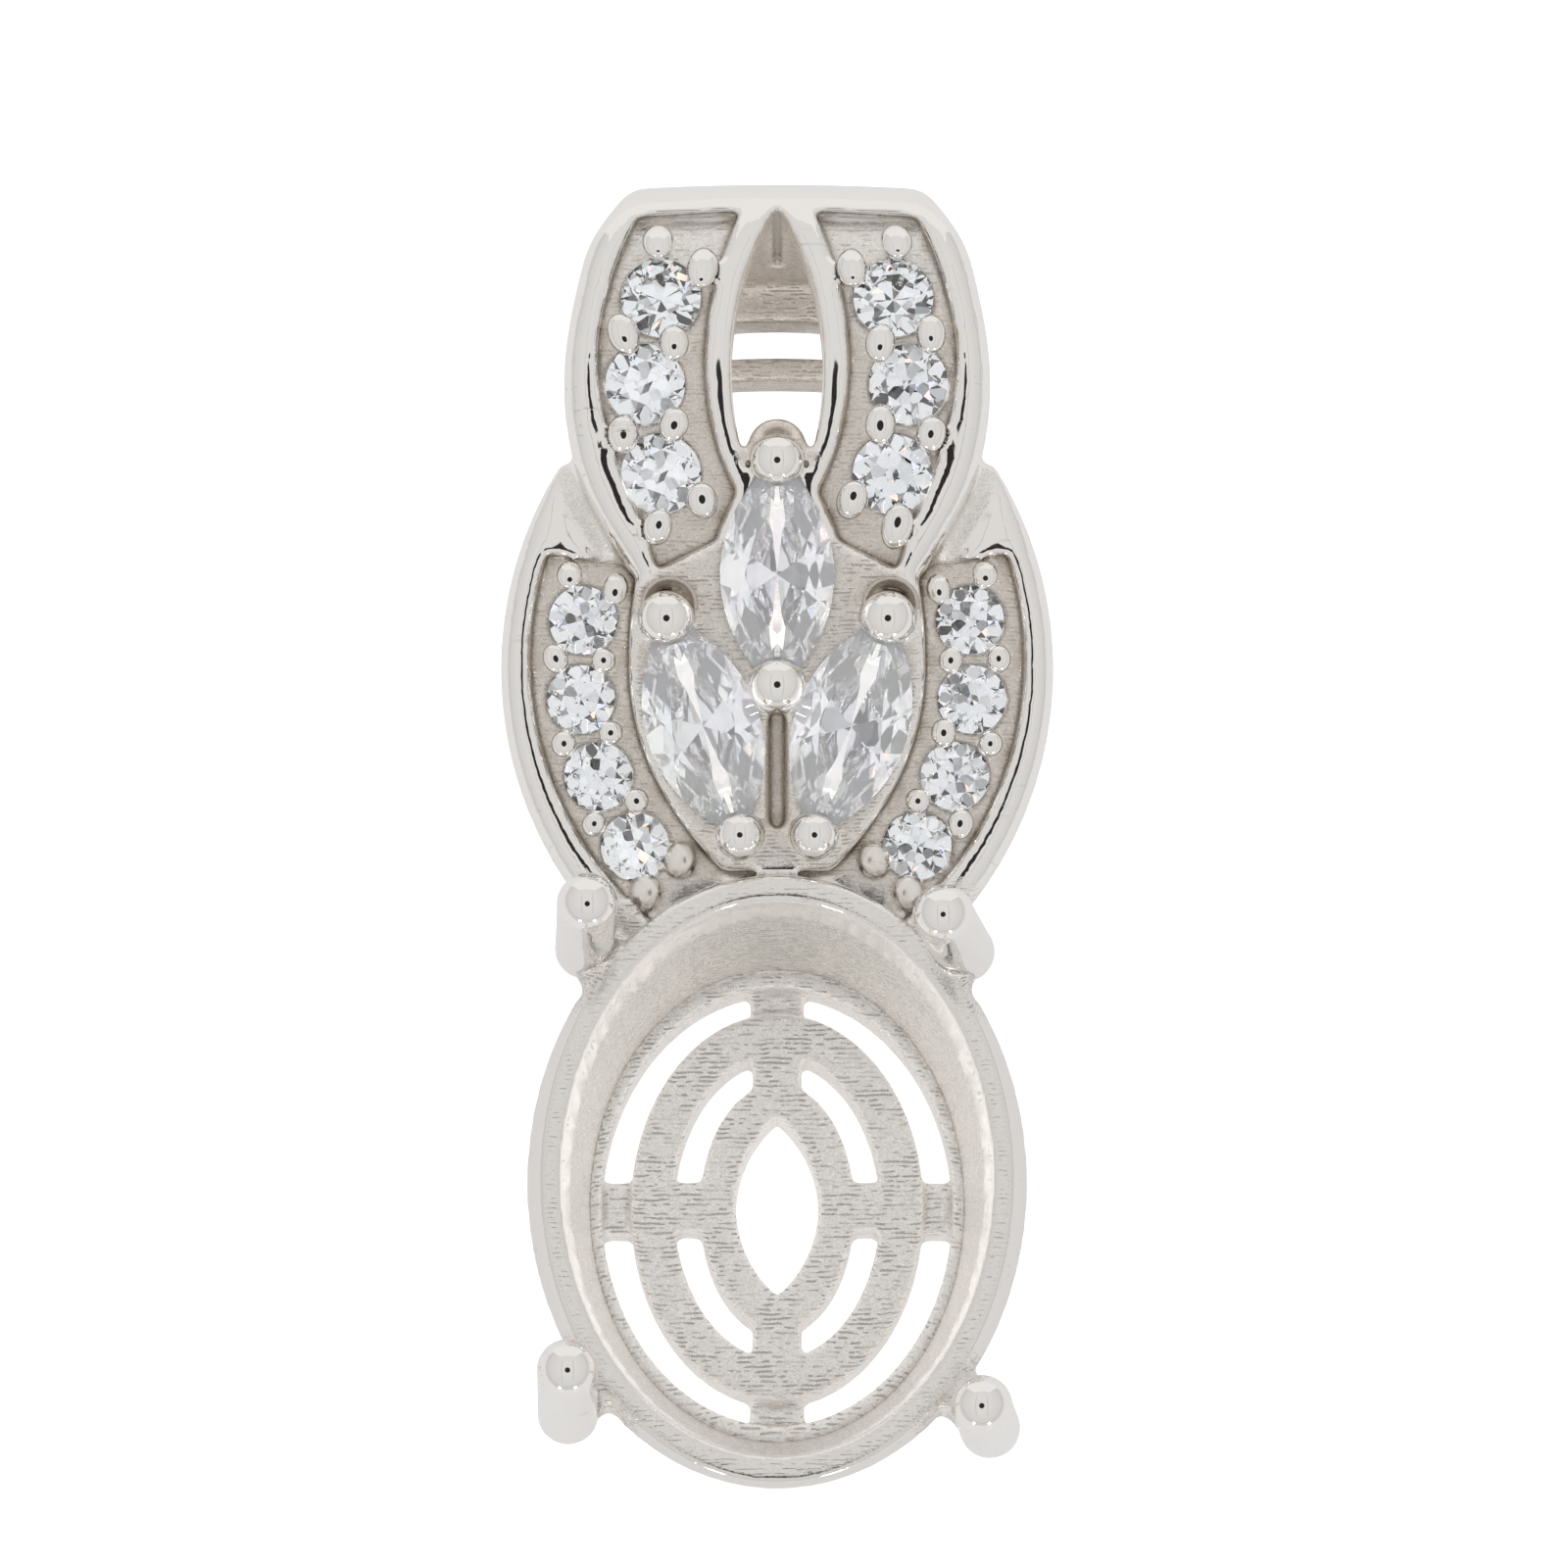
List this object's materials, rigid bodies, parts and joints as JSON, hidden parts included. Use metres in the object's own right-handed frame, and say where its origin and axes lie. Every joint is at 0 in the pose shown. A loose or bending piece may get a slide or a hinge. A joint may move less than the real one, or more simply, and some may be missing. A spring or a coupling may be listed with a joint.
{
  "type": "pendant setting",
  "caption": "Pendant setting: a chain bail with stone-set rows on a curved shield with a marquise trefoil and an open four-prong basket for an oval stone.",
  "frame": {"origin": "centre of the bounding box at its underside, the surface that the setting lies on", "axes": "+X to the right of the wearer's view of the face, +Y towards the bail, +Z out of the face; the setting lies on its back"},
  "size_m": [0.0098, 0.0232, 0.0064],
  "materials": {
    "silver": "polished rims and balls, satin recesses",
    "small_stone": "clear brilliant cut",
    "marquise_stone": "clear marquise cut"
  },
  "bodies": {
    "root": {"silver_mount": "silver", "bail_stone_left_1": "small_stone", "bail_stone_left_2": "small_stone", "bail_stone_left_3": "small_stone", "bail_stone_right_1": "small_stone", "bail_stone_right_2": "small_stone", "bail_stone_right_3": "small_stone", "shield_stone_left_1": "small_stone", "shield_stone_left_2": "small_stone", "shield_stone_left_3": "small_stone", "shield_stone_left_4": "small_stone", "shield_stone_right_1": "small_stone", "shield_stone_right_2": "small_stone", "shield_stone_right_3": "small_stone", "shield_stone_right_4": "small_stone", "marquise_stone_top": "marquise_stone", "marquise_stone_left": "marquise_stone", "marquise_stone_right": "marquise_stone"}
  },
  "joints": []
}
